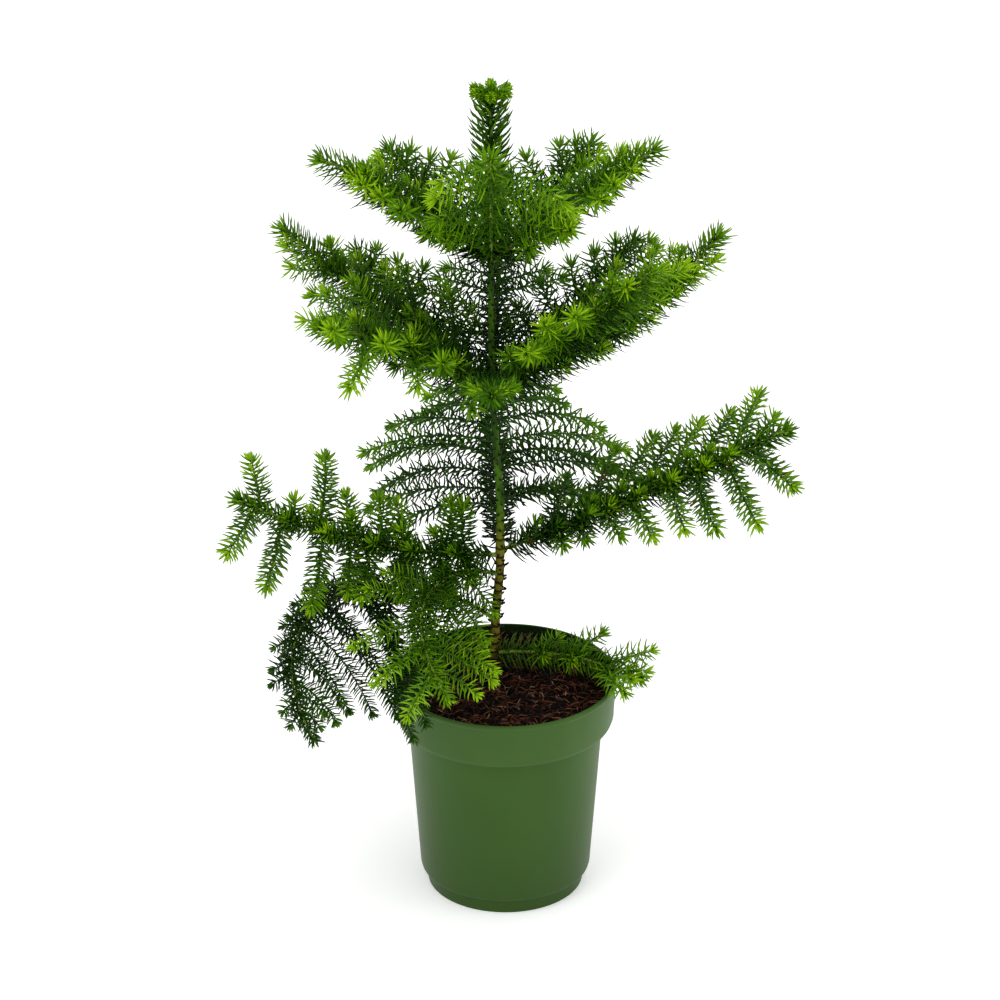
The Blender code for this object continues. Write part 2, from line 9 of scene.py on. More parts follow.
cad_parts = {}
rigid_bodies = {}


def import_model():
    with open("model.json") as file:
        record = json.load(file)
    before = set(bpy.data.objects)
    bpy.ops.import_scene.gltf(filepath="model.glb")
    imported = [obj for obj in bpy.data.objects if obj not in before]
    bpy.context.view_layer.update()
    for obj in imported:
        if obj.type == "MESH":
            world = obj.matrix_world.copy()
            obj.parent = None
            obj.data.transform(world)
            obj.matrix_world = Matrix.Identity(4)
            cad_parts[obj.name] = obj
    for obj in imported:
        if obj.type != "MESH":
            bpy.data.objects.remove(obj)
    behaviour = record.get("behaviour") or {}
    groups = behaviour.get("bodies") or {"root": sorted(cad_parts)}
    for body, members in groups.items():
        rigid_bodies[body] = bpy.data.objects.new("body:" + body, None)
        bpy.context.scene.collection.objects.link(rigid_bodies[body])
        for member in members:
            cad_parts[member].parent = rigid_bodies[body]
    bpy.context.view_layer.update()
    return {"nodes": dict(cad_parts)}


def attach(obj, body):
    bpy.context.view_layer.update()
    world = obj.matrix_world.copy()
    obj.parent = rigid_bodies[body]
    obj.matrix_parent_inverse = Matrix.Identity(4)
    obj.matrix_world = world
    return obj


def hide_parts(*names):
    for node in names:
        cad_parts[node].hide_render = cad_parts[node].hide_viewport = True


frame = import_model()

scene = bpy.context.scene
print("frame loaded:", len(frame["nodes"]), "nodes")


# shader helpers

class Wire:
    # one output socket, usable in plain Python sums
    def __init__(self, finish, socket):
        self.finish = finish
        self.socket = socket

    def maths(self, operation, first, second=0.0):
        return self.finish.add("ShaderNodeMath", {"operation": operation}, {0: first, 1: second})

    def __add__(self, other):
        return self.maths("ADD", self, other)

    def __radd__(self, other):
        return self.maths("ADD", other, self)

    def __mul__(self, other):
        return self.maths("MULTIPLY", self, other)

    def __rmul__(self, other):
        return self.maths("MULTIPLY", other, self)

    def __pow__(self, other):
        return self.maths("POWER", self, other)

    def sine(self):
        return self.maths("SINE", self)

    def between(self, low, high):
        # 0 below low, 1 above high, smooth between
        return self.finish.add("ShaderNodeMapRange", {"interpolation_type": "SMOOTHSTEP"},
                               {"Value": self, "From Min": low, "From Max": high})


class Finish:
    # a material with its nodes
    def __init__(self, name, colour, roughness, gloss):
        self.material = bpy.data.materials.new(name)
        self.material.use_nodes = True
        self.material.diffuse_color = linear(colour)
        self.tree = self.material.node_tree
        self.shader = self.tree.nodes["Principled BSDF"]
        self.shader.inputs["Base Color"].default_value = linear(colour)
        self.shader.inputs["Roughness"].default_value = roughness
        self.shader.inputs["Specular IOR Level"].default_value = gloss

    def add(self, kind, settings, values, output=0):
        node = self.tree.nodes.new(kind)
        for key, value in settings.items():
            setattr(node, key, value)
        for key, value in values.items():
            if isinstance(value, Wire):
                self.tree.links.new(value.socket, node.inputs[key])
            else:
                node.inputs[key].default_value = value
        return Wire(self, node.outputs[output])

    def place(self):
        return self.add("ShaderNodeTexCoord", {}, {}, "Object")

    def coordinate(self, axis):
        return self.add("ShaderNodeSeparateXYZ", {}, {0: self.place()}, "XYZ".index(axis))

    def cloud(self, scale, detail, stretch=(1.0, 1.0, 1.0)):
        place = self.add("ShaderNodeMapping", {}, {"Vector": self.place(), "Scale": stretch})
        return self.add("ShaderNodeTexNoise", {}, {"Vector": place, "Scale": scale, "Detail": detail})

    def mix(self, share, first, second):
        # sockets 6 and 7 are the node's two colours, and output 2 is their mix
        first, second = (each if isinstance(each, Wire) else linear(each) for each in (first, second))
        return self.add("ShaderNodeMix", {"data_type": "RGBA"}, {0: share, 6: first, 7: second}, 2)

    def feed(self, **sockets):
        for socket, wire in sockets.items():
            self.tree.links.new(wire.socket, self.shader.inputs[socket.replace("_", " ")])

    def relief(self, height, strength, distance):
        bump = self.add("ShaderNodeBump", {}, {"Height": height, "Strength": strength, "Distance": distance})
        self.feed(Normal=bump)


def linear(colour):
    # 0-255 screen colour to scene colour
    shares = [part / 255.0 for part in colour]
    return (*(part / 12.92 if part < 0.04045 else ((part + 0.055) / 1.055) ** 2.4 for part in shares), 1.0)


# mesh helpers

touching = 0.00001   # corners this near are one
nearZero = 1e-12


def addObject(name, data):
    added = bpy.data.objects.new(name, data)
    scene.collection.objects.link(added)
    return added


def addPiece(mesh, finishes, replaced=()):
    for finish in finishes:
        mesh.materials.append(finish.material)
    piece = addObject(mesh.name, mesh)
    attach(piece, "root")
    if replaced:
        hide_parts(*replaced)


def shadeRound(mesh, sharpAngle):
    mesh.polygons.foreach_set("use_smooth", [True] * len(mesh.polygons))
    mesh.set_sharp_from_angle(angle=math.radians(sharpAngle))


def meshFromBmesh(name, bm, sharpAngle=30.0):
    mesh = bpy.data.meshes.new(name)
    bm.to_mesh(mesh)
    bm.free()
    shadeRound(mesh, sharpAngle)
    return mesh


def meshFromArrays(name, points, faces, tints, smooth=True):
    mesh = bpy.data.meshes.new(name)
    mesh.from_pydata(points.tolist(), [], faces)
    mesh.polygons.foreach_set("use_smooth", [smooth] * len(mesh.polygons))
    mesh.polygons.foreach_set("material_index", tints)
    mesh.update()
    return mesh


def spinProfile(profile, steps):
    # both ends of the profile are on the axis, so the skin closes
    bm = bmesh.new()
    corners = [bm.verts.new((radius, 0.0, height)) for radius, height in profile]
    edges = [bm.edges.new(pair) for pair in zip(corners, corners[1:])]
    bmesh.ops.spin(bm, geom=corners + edges, cent=(0.0, 0.0, 0.0), axis=(0.0, 0.0, 1.0),
                   angle=2.0 * math.pi, steps=steps, use_merge=True, use_duplicate=False)
    bmesh.ops.remove_doubles(bm, verts=bm.verts, dist=touching)
    bmesh.ops.recalc_face_normals(bm, faces=bm.faces)
    return bm


def sharpRings(bm, angle):
    # the level edges that turn by more than the angle
    limit = math.radians(angle)
    return [edge for edge in bm.edges
            if len(edge.link_faces) == 2 and edge.calc_face_angle() > limit
            and abs(edge.verts[0].co.z - edge.verts[1].co.z) < touching]


def unit(vectors):
    return vectors / np.maximum(np.linalg.norm(vectors, axis=-1, keepdims=True), nearZero)


def across(tangent, up):
    # two directions square to each tangent
    side = unit(np.cross(tangent, up))
    return side, np.cross(side, tangent)


def leaning(along, out, angle):
    # the ways that turn from along towards out by the angles
    return along * np.cos(angle)[:, None] + out * np.sin(angle)[:, None]


def tubeArrays(paths, radii, sides, up=(0.02, 0.01, 1.0)):
    # closed tubes, all of the same number of steps; no path runs along up
    count, steps = paths.shape[:2]
    tangent = unit(np.gradient(paths, axis=1))
    side, over = across(tangent, up)
    turn = np.arange(sides) * 2.0 * np.pi / sides
    spoke = (side[:, :, None] * np.cos(turn)[None, None, :, None]
             + over[:, :, None] * np.sin(turn)[None, None, :, None])
    points = paths[:, :, None] + spoke * radii[:, :, None, None]
    skin = []
    for step in range(steps - 1):
        for corner in range(sides):
            following = (corner + 1) % sides
            skin.append((step * sides + corner, step * sides + following,
                         (step + 1) * sides + following, (step + 1) * sides + corner))
    skin.append(tuple(range(sides))[::-1])
    skin.append(tuple((steps - 1) * sides + corner for corner in range(sides)))
    size = steps * sides
    faces = [tuple(tube * size + corner for corner in face) for tube in range(count) for face in skin]
    return points.reshape(-1, 3), faces


# pot: a bend lists the points round one edge of the profile, by how far out and up from it

pot = {"steps": 144, "rim": 0.07, "height": 0.1438, "collarHeight": 0.0305, "collarFoot": 0.068,
       "bodyTop": 0.0609, "bodyFoot": 0.0537, "ringHeight": 0.0101, "ring": 0.0491, "ringWidth": 0.005,
       "recess": 0.0025, "pad": 0.015, "padSlope": 0.0012, "ringSlope": 0.0006,
       "wall": 0.0016, "lip": 0.0022, "floor": 0.002, "innerRing": 0.7,
       "ringFootBend": ((-0.0004, 0.0), (0.0, 0.0004)), "ringTopBend": ((0.0004, -0.0012),),
       "bodyFootBend": ((-0.0022, -0.0004), (-0.0006, 0.0008), (0.0, 0.003)),
       "bodyTopBend": ((0.0, -0.0016), (0.001, -0.0002)),
       "collarBend": ((-0.003, 0.0002), (-0.001, 0.0012), (0.0, 0.004)),
       "rimBend": ((-0.0009, -0.0034), (-0.0001, -0.0024), (0.0, -0.0012), (-0.0006, -0.0001)),
       "lipBend": ((0.0, 0.0), (-0.0004, -0.0014)), "innerCollarBend": ((-0.002, 0.006),),
       "innerTopBend": ((0.0, 0.0012),), "innerFootBend": ((0.0, 0.004),),
       "softEdge": 0.0005, "softFrom": 25.0, "sharpFrom": 40.0,
       "drains": 6, "drainRadius": 0.0045, "drainSides": 32, "drainCircle": 0.031, "drillLength": 0.012,
       "plastic": (55, 87, 29), "deep": (51, 83, 26), "light": (58, 91, 31), "foot": (47, 75, 23),
       # the pale colour on the next line is painted light over the collar as well as dust streaks; the dark
       # one after it is painted shade on the inner wall above the soil
       "paleDustAndLight": (80, 106, 56), "innerWallShade": (20, 44, 12), "gloss": 0.14, "roughness": 0.36,
       "blotches": (9.0, 3.0), "blotchRange": (0.35, 0.68), "streaks": (26.0, 4.0, (1.0, 1.0, 0.16)),
       "streakRange": (0.52, 0.75), "grain": (900.0, 2.0), "footShade": (0.0, 0.13),
       "collarLight": (0.112, 0.116), "wallShade": (0.1185, 0.1195), "wallEdge": 0.0001,
       "bump": (0.2, 0.0003)}


def bend(name, radius, height):
    return [(radius + out, height + up) for out, up in pot[name]]


def potProfile():
    top, collar, ledge = pot["height"], pot["height"] - pot["collarHeight"], pot["ringHeight"]
    floorTop = pot["recess"] + pot["floor"]
    ringInner = pot["ring"] - pot["ringWidth"]
    underside = [(0.0, 0.0), (pot["pad"], 0.0), (pot["pad"] + pot["padSlope"], pot["recess"]),
                 (ringInner - pot["ringSlope"], pot["recess"]), (ringInner, 0.0)]
    outside = (bend("ringFootBend", pot["ring"], 0.0) + bend("ringTopBend", pot["ring"], ledge)
               + bend("bodyFootBend", pot["bodyFoot"], ledge) + bend("bodyTopBend", pot["bodyTop"], collar)
               + bend("collarBend", pot["collarFoot"], collar) + bend("rimBend", pot["rim"], top))
    inside = (bend("lipBend", pot["rim"] - pot["lip"], top)
              + bend("innerCollarBend", pot["collarFoot"], collar)
              + bend("innerTopBend", pot["bodyTop"] - pot["wall"], collar)
              + bend("innerFootBend", pot["bodyFoot"] - pot["wall"], ledge))
    floor = [(pot["ring"] - pot["wall"], ledge * pot["innerRing"]), (ringInner, floorTop), (0.0, floorTop)]
    return underside + outside + inside + floor


def potFinish():
    finish = Finish("potPlastic", pot["plastic"], pot["roughness"], pot["gloss"])
    blotches = finish.cloud(*pot["blotches"])
    streaks = finish.cloud(*pot["streaks"])
    grain = finish.cloud(*pot["grain"])
    height = finish.coordinate("Z")
    # the pale colour is partly painted light, a lighter band over the whole collar, and partly pale dust
    # streaks down the pot
    dustAndCollarLight = height.between(*pot["collarLight"]) * 0.12 + streaks.between(*pot["streakRange"]) * 0.14
    base = finish.mix(blotches.between(*pot["blotchRange"]), pot["deep"], pot["light"])
    shaded = finish.mix(height.between(*pot["footShade"]), pot["foot"], base)
    outer = finish.mix(dustAndCollarLight, shaded, pot["paleDustAndLight"])
    # painted shade: the inside of the wall above the soil is dark
    inner = finish.mix(height.between(*pot["wallShade"]), outer, pot["innerWallShade"])
    reach = (finish.coordinate("X") ** 2.0 + finish.coordinate("Y") ** 2.0) ** 0.5
    lip = pot["rim"] - pot["lip"]
    outside = reach.between(lip - pot["wallEdge"], lip + pot["wallEdge"])
    finish.feed(Base_Color=finish.mix(outside, inner, outer),
                Roughness=pot["roughness"] + streaks * 0.12 + grain * 0.06)
    finish.relief(grain * 0.35 + streaks * 0.25, *pot["bump"])
    return finish


def makeDrills():
    drills = bpy.data.collections.new("drills")
    scene.collection.children.link(drills)
    for index in range(pot["drains"]):
        turn = 2.0 * math.pi * index / pot["drains"]
        drill = bmesh.new()
        bmesh.ops.create_cone(drill, cap_ends=True, segments=pot["drainSides"], radius1=pot["drainRadius"],
                              radius2=pot["drainRadius"], depth=pot["drillLength"])
        centre = Vector((math.cos(turn), math.sin(turn), 0.0)) * pot["drainCircle"]
        bmesh.ops.translate(drill, verts=drill.verts, vec=centre + Vector((0.0, 0.0, pot["recess"])))
        drills.objects.link(bpy.data.objects.new("drill", meshFromBmesh("drill", drill)))
    return drills


def buildPot():
    bm = spinProfile(potProfile(), pot["steps"])
    bmesh.ops.bevel(bm, geom=sharpRings(bm, pot["softFrom"]), offset=pot["softEdge"], offset_type="OFFSET",
                    segments=3, profile=0.5, affect="EDGES", clamp_overlap=True, material=-1)
    body = addObject("potBody", meshFromBmesh("potBody", bm))
    drills = makeDrills()
    cut = body.modifiers.new("drains", "BOOLEAN")
    cut.operation = "DIFFERENCE"
    cut.operand_type = "COLLECTION"
    cut.collection = drills
    bpy.context.view_layer.update()
    mesh = bpy.data.meshes.new_from_object(body.evaluated_get(bpy.context.evaluated_depsgraph_get()))
    for extra in [body, *drills.objects]:
        bpy.data.objects.remove(extra, do_unlink=True)
    bpy.data.collections.remove(drills)
    mesh.name = "pot_moulded"
    mesh.materials.clear()
    shadeRound(mesh, pot["sharpFrom"])
    addPiece(mesh, [potFinish()], ["pot"])


buildPot()
print("pot done")


# soil: a plug with a lumpy top, heaped a little round the trunk and towards the back

soil = {"top": 0.1358, "edge": 0.0672, "inside": 0.985, "rings": 64, "steps": 220, "sharpFrom": 80.0,
        "plug": ((0.0, 0.0052), (0.043, 0.0052), (0.059, 0.114), (0.0655, 0.1205)),
        "lump": 0.002, "lumpRate": 85.0, "crumb": 0.0011, "crumbRate": 300.0, "crumbSlice": 0.3,
        "heap": 0.0014, "heapAt": (-0.0034, 0.0177), "heapReach": 0.016, "dish": 0.0015, "back": 0.0028,
        # the darkest colour here is painted shade in the soil's hollows
        "colour": (12, 8, 5), "hollowShade": (3, 2, 2), "crumbs": (16, 9, 6), "fleck": (70, 40, 24),
        "clumps": (120.0, 5.0), "clumpRange": (0.38, 0.66), "flecks": (620.0, 3.0),
        "fleckRange": (0.62, 0.74), "gloss": 0.12, "roughness": 0.8, "bump": (0.8, 0.0012), "seed": 5}


def soilHeight(x, y):
    lumps = noise.noise(Vector((x, y, 0.0)) * soil["lumpRate"]) * soil["lump"]
    crumbs = noise.noise(Vector((x, y, soil["crumbSlice"])) * soil["crumbRate"]) * soil["crumb"]
    away = math.hypot(x - soil["heapAt"][0], y - soil["heapAt"][1])
    heap = soil["heap"] * (1.0 - min(1.0, away / soil["heapReach"]))
    dish = soil["dish"] * (math.hypot(x, y) / soil["edge"]) ** 4
    behind = soil["back"] * max(0.0, y / soil["edge"]) ** 2
    return soil["top"] + lumps + crumbs + heap - dish + behind


def soilFinish():
    finish = Finish("soilMix", soil["colour"], soil["roughness"], soil["gloss"])
    clumps = finish.cloud(*soil["clumps"])
    flecks = finish.cloud(*soil["flecks"])
    # painted shade: where the bump is low the soil is near black
    dark = finish.mix(clumps.between(*soil["clumpRange"]), soil["hollowShade"], soil["crumbs"])
    finish.feed(Base_Color=finish.mix(flecks.between(*soil["fleckRange"]) * 0.3, dark, soil["fleck"]),
                Roughness=soil["roughness"] + clumps * 0.2)
    finish.relief(clumps * 0.6 + flecks * 0.4, *soil["bump"])
    return finish


def buildSoil():
    rings = soil["rings"]
    top = [(soil["edge"] * (1.0 - ring / rings), soil["top"]) for ring in range(rings + 1)]
    bm = spinProfile([*soil["plug"], *top], soil["steps"])
    for vert in bm.verts:
        if vert.co.z > soil["top"] - touching:
            vert.co.z = soilHeight(vert.co.x, vert.co.y)
    addPiece(meshFromBmesh("soil_mix", bm, soil["sharpFrom"]), [soilFinish()], ["soil"])


# chips and fibres on the soil: each kind is a dark and a light colour, and shares say how common it is

chips = {"count": 900, "length": (0.0016, 0.006), "mostShort": 2.2, "width": (0.2, 0.5),
         "thick": (0.0003, 0.0011), "tip": 0.38, "roll": 0.45, "skew": 0.22, "skewWays": (1.0, 1.0, 0.5),
         "lift": 0.0004, "shares": (0.52, 0.33, 0.135, 0.015),
         "kinds": {"barkBlack": ((4, 2, 2), (13, 7, 4)), "barkBrown": ((11, 6, 4), (38, 20, 11)),
                   "barkRed": ((32, 15, 8), (82, 42, 22)), "barkPale": ((84, 54, 38), (140, 102, 82))}}
fibres = {"count": 1150, "steps": 6, "sides": 4, "length": (0.004, 0.013), "mostShort": 1.6, "bend": 0.6,
          "lift": 0.0006, "liftMore": 0.0012, "arch": 0.0014, "slope": 0.0016,
          "radius": (0.00022, 0.00045), "thinEnds": 0.6, "shares": (0.55, 0.36, 0.09),
          "kinds": {"fibreBrown": ((32, 15, 8), (78, 38, 20)), "fibreTan": ((72, 40, 24), (126, 78, 50)),
                    "fibrePale": ((104, 76, 58), (156, 122, 100))}}
litter = {"tone": (240.0, 3.0), "toneRange": (0.35, 0.65), "grain": (1500.0, 2.0, (1.0, 0.3, 1.0)),
          "roughness": 0.65, "gloss": 0.15, "bump": (0.4, 0.0003)}


def litterFinishes(kinds):
    finishes = []
    for name, (dark, light) in kinds.items():
        finish = Finish(name, light, litter["roughness"], litter["gloss"])
        tone = finish.cloud(*litter["tone"])
        grain = finish.cloud(*litter["grain"])
        finish.feed(Base_Color=finish.mix(tone.between(*litter["toneRange"]), dark, light),
                    Roughness=litter["roughness"] + grain * 0.3)
        finish.relief(grain, *litter["bump"])
        finishes.append(finish)
    return finishes


def sizesWithin(limits, count, chance, mostSmall=1.0):
    low, high = limits
    return low + (high - low) * chance.random(count) ** mostSmall


def scatter(count, chance):
    # even spots over the soil
    radius = soil["edge"] * np.sqrt(chance.random(count)) * soil["inside"]
    turn = chance.random(count) * 2.0 * np.pi
    x, y = radius * np.cos(turn), radius * np.sin(turn)
    return np.stack([x, y, np.array([soilHeight(a, b) for a, b in zip(x, y)])], axis=1)


def keepInside(spots):
    # pull flat spots back to the pot's inner wall
    far = np.linalg.norm(spots, axis=-1, keepdims=True)
    return spots * np.minimum(1.0, soil["edge"] * soil["inside"] / np.maximum(far, nearZero))


def buildChips(chance):
    # split bark, eight corners each, with skewed ends
    count = chips["count"]
    centre = scatter(count, chance)
    length = sizesWithin(chips["length"], count, chance, chips["mostShort"])
    width = length * sizesWithin(chips["width"], count, chance)
    size = np.stack([length, width, sizesWithin(chips["thick"], count, chance)], axis=1) / 2.0
    turn = chance.random(count) * 2 * np.pi
    tip = chance.normal(0, chips["tip"], count)
    roll = chance.normal(0, chips["roll"], count)
    along = np.stack([np.cos(turn) * np.cos(tip), np.sin(turn) * np.cos(tip), np.sin(tip)], axis=1)
    side, over = across(along, (0.0, 0.0, 1.0))
    side, over = leaning(side, over, roll), leaning(over, -side, roll)
    signs = np.array([(x, y, z) for z in (-1, 1) for y in (-1, 1) for x in (-1, 1)], float)
    skew = 1.0 + chance.normal(0, chips["skew"], (count, 8, 3)) * np.array(chips["skewWays"])
    local = signs[None] * skew * size[:, None]
    points = (centre[:, None] + local[..., :1] * along[:, None] + local[..., 1:2] * side[:, None]
              + local[..., 2:] * over[:, None])
    points[..., 2] += chips["lift"]
    points[..., :2] = keepInside(points[..., :2])
    box = [(0, 2, 3, 1), (4, 5, 7, 6), (0, 1, 5, 4), (2, 6, 7, 3), (0, 4, 6, 2), (1, 3, 7, 5)]
    faces = [tuple(8 * chip + corner for corner in face) for chip in range(count) for face in box]
    kinds = np.repeat(chance.choice(len(chips["kinds"]), count, p=chips["shares"]), len(box))
    mesh = meshFromArrays("bark_chips", points.reshape(-1, 3), faces, kinds, smooth=False)
    addPiece(mesh, litterFinishes(chips["kinds"]))


def buildFibres(chance):
    # thin curved threads lying over the chips
    count, steps = fibres["count"], fibres["steps"]
    start = scatter(count, chance)
    reach = sizesWithin(fibres["length"], count, chance, fibres["mostShort"])
    turn = chance.random(count) * 2 * np.pi
    bends = chance.normal(0, fibres["bend"], count)
    share = np.linspace(-0.5, 0.5, steps)
    way = turn[:, None] + bends[:, None] * share[None]
    flat = np.stack([np.cos(way), np.sin(way)], axis=2) * (reach / (steps - 1))[:, None, None]
    line = keepInside(start[:, None, :2] + np.cumsum(flat, axis=1) - flat.sum(axis=1)[:, None] / 2.0)
    rise = np.array([[soilHeight(x, y) for x, y in thread] for thread in line])
    hump = fibres["arch"] * chance.random(count)[:, None] * (1.0 - (2.0 * share[None]) ** 2)
    raised = chance.random(count)[:, None] * fibres["liftMore"]
    sloping = chance.normal(0.0, fibres["slope"], count)[:, None] * share[None]
    paths = np.concatenate([line, (rise + (fibres["lift"] + hump + (raised + sloping)))[..., None]], axis=2)
    thinner = 1.0 - fibres["thinEnds"] * np.abs(2 * share[None]) ** 3
    thick = sizesWithin(fibres["radius"], count, chance)[:, None] * thinner
    points, faces = tubeArrays(paths, thick, fibres["sides"])
    kinds = np.repeat(chance.choice(len(fibres["kinds"]), count, p=fibres["shares"]), len(faces) // count)
    mesh = meshFromArrays("soil_fibres", points, faces, kinds)
    addPiece(mesh, litterFinishes(fibres["kinds"]))


buildSoil()
soilChance = np.random.default_rng(soil["seed"])
buildChips(soilChance)
buildFibres(soilChance)
print("soil done")


# trunk: lean gives its middle's place to the side at several heights

trunk = {"depth": 0.0177, "ground": 0.136, "foot": 0.135, "top": 0.5262, "footRadius": 0.0031,
         "tipRadius": 0.0012, "flare": 0.0009, "flareHeight": 0.006, "swelling": 0.0004, "span": 0.005,
         "sides": 24, "cuts": 300, "slim": 0.97, "relief": 0.00022, "sharpFrom": 70.0,
         "cushion": 1.6, "cushionRates": (900.0, 700.0), "roughRate": 260.0,
         "lean": ((0.136, -0.007), (0.176, -0.0062), (0.208, -0.0034), (0.256, -0.0031),
                  (0.324, -0.008), (0.365, -0.0088), (0.54, -0.0088)),
         "colour": (84, 84, 30), "olive": ((70, 64, 12), (112, 108, 22)), "oliveRange": (0.4, 0.6),
         "young": ((30, 60, 8), (66, 104, 16)), "youngRange": (0.36, 0.64), "youngFrom": (0.215, 0.26),
         "scar": (36, 26, 10), "scarRate": 1030.0, "scarWander": 5.0, "scarRange": (0.35, 0.85),
         "fleck": (30, 26, 14), "fleckRange": (0.56, 0.74), "patches": (150.0, 4.0, (1.0, 1.0, 0.35)),
         "fine": (900.0, 3.0, (1.0, 1.0, 0.4)), "roughness": 0.6, "gloss": 0.12, "bump": (0.7, 0.0006)}
upper, middle, lower, stagger = 0.4176, 0.3333, 0.2232, 0.0015   # the tiers' heights, and the steps in one


def trunkCentre(height):
    heights, offsets = zip(*trunk["lean"])
    return np.array([np.interp(height, heights, offsets), trunk["depth"], height])


def trunkPath(low, high, steps):
    return np.array([trunkCentre(height) for height in np.linspace(low, high, steps)])


def trunkRadius(height):
    along = (height - trunk["ground"]) / (trunk["top"] - trunk["ground"])
    radius = trunk["footRadius"] + (trunk["tipRadius"] - trunk["footRadius"]) * along
    radius += trunk["flare"] * math.exp(-max(0.0, height - trunk["ground"]) / trunk["flareHeight"])
    for tier in (upper, middle, lower):
        radius += trunk["swelling"] * math.exp(-((height - tier) / trunk["span"]) ** 2)
    return radius


def barkFinish():
    # olive bark with ring scars below, green above
    finish = Finish("trunkBark", trunk["colour"], trunk["roughness"], trunk["gloss"])
    height = finish.coordinate("Z")
    patches = finish.cloud(*trunk["patches"])
    fine = finish.cloud(*trunk["fine"])
    scars = (height * trunk["scarRate"] + patches * trunk["scarWander"]).sine()
    olive = finish.mix(patches.between(*trunk["oliveRange"]), *trunk["olive"])
    old = finish.mix(scars.between(*trunk["scarRange"]), olive, trunk["scar"])
    young = finish.mix(patches.between(*trunk["youngRange"]), *trunk["young"])
    bark = finish.mix(height.between(*trunk["youngFrom"]), old, young)
    finish.feed(Base_Color=finish.mix(fine.between(*trunk["fleckRange"]) * 0.6, bark, trunk["fleck"]),
                Roughness=trunk["roughness"] + fine * 0.3)
    finish.relief(patches * 0.6 + fine * 0.4, *trunk["bump"])
    return finish


def barkRelief(turn, height):
    # leaf cushions in two crossing spirals, and roughness
    first, second = trunk["cushionRates"]
    cushions = (max(0.0, math.sin(3.0 * turn + height * first))
                * max(0.0, math.sin(5.0 * turn - height * second)))
    rough = noise.noise(Vector((math.cos(turn), math.sin(turn), height * trunk["roughRate"])))
    return trunk["relief"] * (trunk["cushion"] * cushions + rough)


def buildTrunk():
    bm = bmesh.new()
    bmesh.ops.create_cone(bm, cap_ends=True, segments=trunk["sides"], radius1=1.0, radius2=1.0, depth=1.0)
    upright = [edge for edge in bm.edges if abs(edge.verts[0].co.z - edge.verts[1].co.z) > 0.5]
    bmesh.ops.subdivide_edges(bm, edges=upright, cuts=trunk["cuts"], use_grid_fill=True)
    for vert in bm.verts:
        height = trunk["foot"] + (vert.co.z + 0.5) * (trunk["top"] - trunk["foot"])
        turn = math.atan2(vert.co.y, vert.co.x)
        radius = trunkRadius(height) * trunk["slim"] + barkRelief(turn, height)
        centre = trunkCentre(height)
        vert.co = (centre[0] + math.cos(turn) * radius, centre[1] + math.sin(turn) * radius, height)
    addPiece(meshFromBmesh("trunk_stem", bm, trunk["sharpFrom"]), [barkFinish()], ["trunk"])


buildTrunk()
print("trunk done")


# boughs: the source's growth rule, carried to finer twigs

growth = {"pathSteps": 48, "twigSteps": 10, "jitter": 0.1, "shift": 0.3, "lastPlace": 0.95,
          "spreadJitter": 9.0, "liftJitter": 0.2, "forkAt": 0.68, "fork": 0.044, "forkSpread": 17.0,
          "crown": 0.018, "crownLengths": (0.7, 1.15), "crownFrom": 0.06, "crownSpan": 0.7,
          "crownSlack": (0.2, 0.8), "crownSpread": 38.0, "crownLift": 1.3, "seed": 11}
wood = {"limbRadius": 0.00125, "tipRadius": 0.00055, "limbSides": 10, "rough": 0.12, "roughRate": 700.0,
        "collar": 0.0009, "collarLength": 0.0025, "twigRadius": 0.00062, "twigTip": 0.00034, "twigSides": 6,
        "colour": (84, 110, 40), "barks": ((66, 98, 22), (134, 162, 48)), "patches": (170.0, 3.0),
        "patchRange": (0.36, 0.64), "fine": (1100.0, 2.0), "roughness": 0.5, "gloss": 0.35,
        "bump": (0.5, 0.0003)}

# what a bough has unless it says otherwise: course, twigs, needles
usual = {"swerve": 0.0, "roll": 0.0, "pairs": 6, "firstAt": 0.22, "lastAt": 0.88, "peak": 0.35, "first": 0.8,
         "last": 0.4, "spread": 75.0, "tipSpread": 50.0, "forward": 0.3, "lift": 0.0, "swing": 0.0,
         "left": 1.0, "right": 1.0, "leftLift": 0.0, "rightLift": 0.0, "leftWider": 0.0, "rightWider": 0.0,
         "leftShares": None, "rightShares": None, "fork": 0, "crown": 0,
         # tone makes a bough's greens darker or lighter: painted shade and light, darkest on the back boughs
         # and lightest on the front and top ones
         "needle": 0.0112, "width": 0.00128, "density": 1500.0, "full": 1.5, "tone": 0.0, "rounds": 0.8,
         # the setting for how much lighter the shoot tips and outer twigs get is painted light as well as
         # young growth
         "skirt": 0.0, "dry": 0.0, "taper": 0.0, "youth": 1.0, "curl": 1.0}
boughs = {}


def bough(name, height, azimuth, length, rise, tipRise, longest, **other):
    boughs[name] = {**usual, "height": height, "azimuth": azimuth, "length": length, "rise": rise,
                    "tipRise": tipRise, "longest": longest, **other}


bough("upper_left", upper + stagger, 195, 0.13, 45, 26, 0.042, roll=-12, lift=0.15, right=0.5, lastAt=0.76,
      crown=3, tone=0.1, skirt=1.0)
bough("upper_right", upper - stagger, -18, 0.134, 44, 36, 0.042, roll=12, lift=0.15, left=0.8, lastAt=0.8,
      crown=3, tone=0.1, skirt=0.8)
bough("upper_front", upper, -90, 0.131, 52, 48, 0.05, lift=-0.6, leftLift=-0.3, pairs=5, firstAt=0.24,
      lastAt=0.86, spread=70, tipSpread=100, leftShares=(0.68, 0.8, 0.93, 0.98, 0.98),
      rightShares=(0.45, 0.55, 0.65, 0.7, 0.62), needle=0.0122, width=0.00136, density=1020, tone=0.2,
      skirt=0.1, full=1.1, youth=0.7)
bough("upper_back_left", upper - stagger, 128, 0.11, 24, 20, 0.038, lift=0.15, lastAt=0.84)
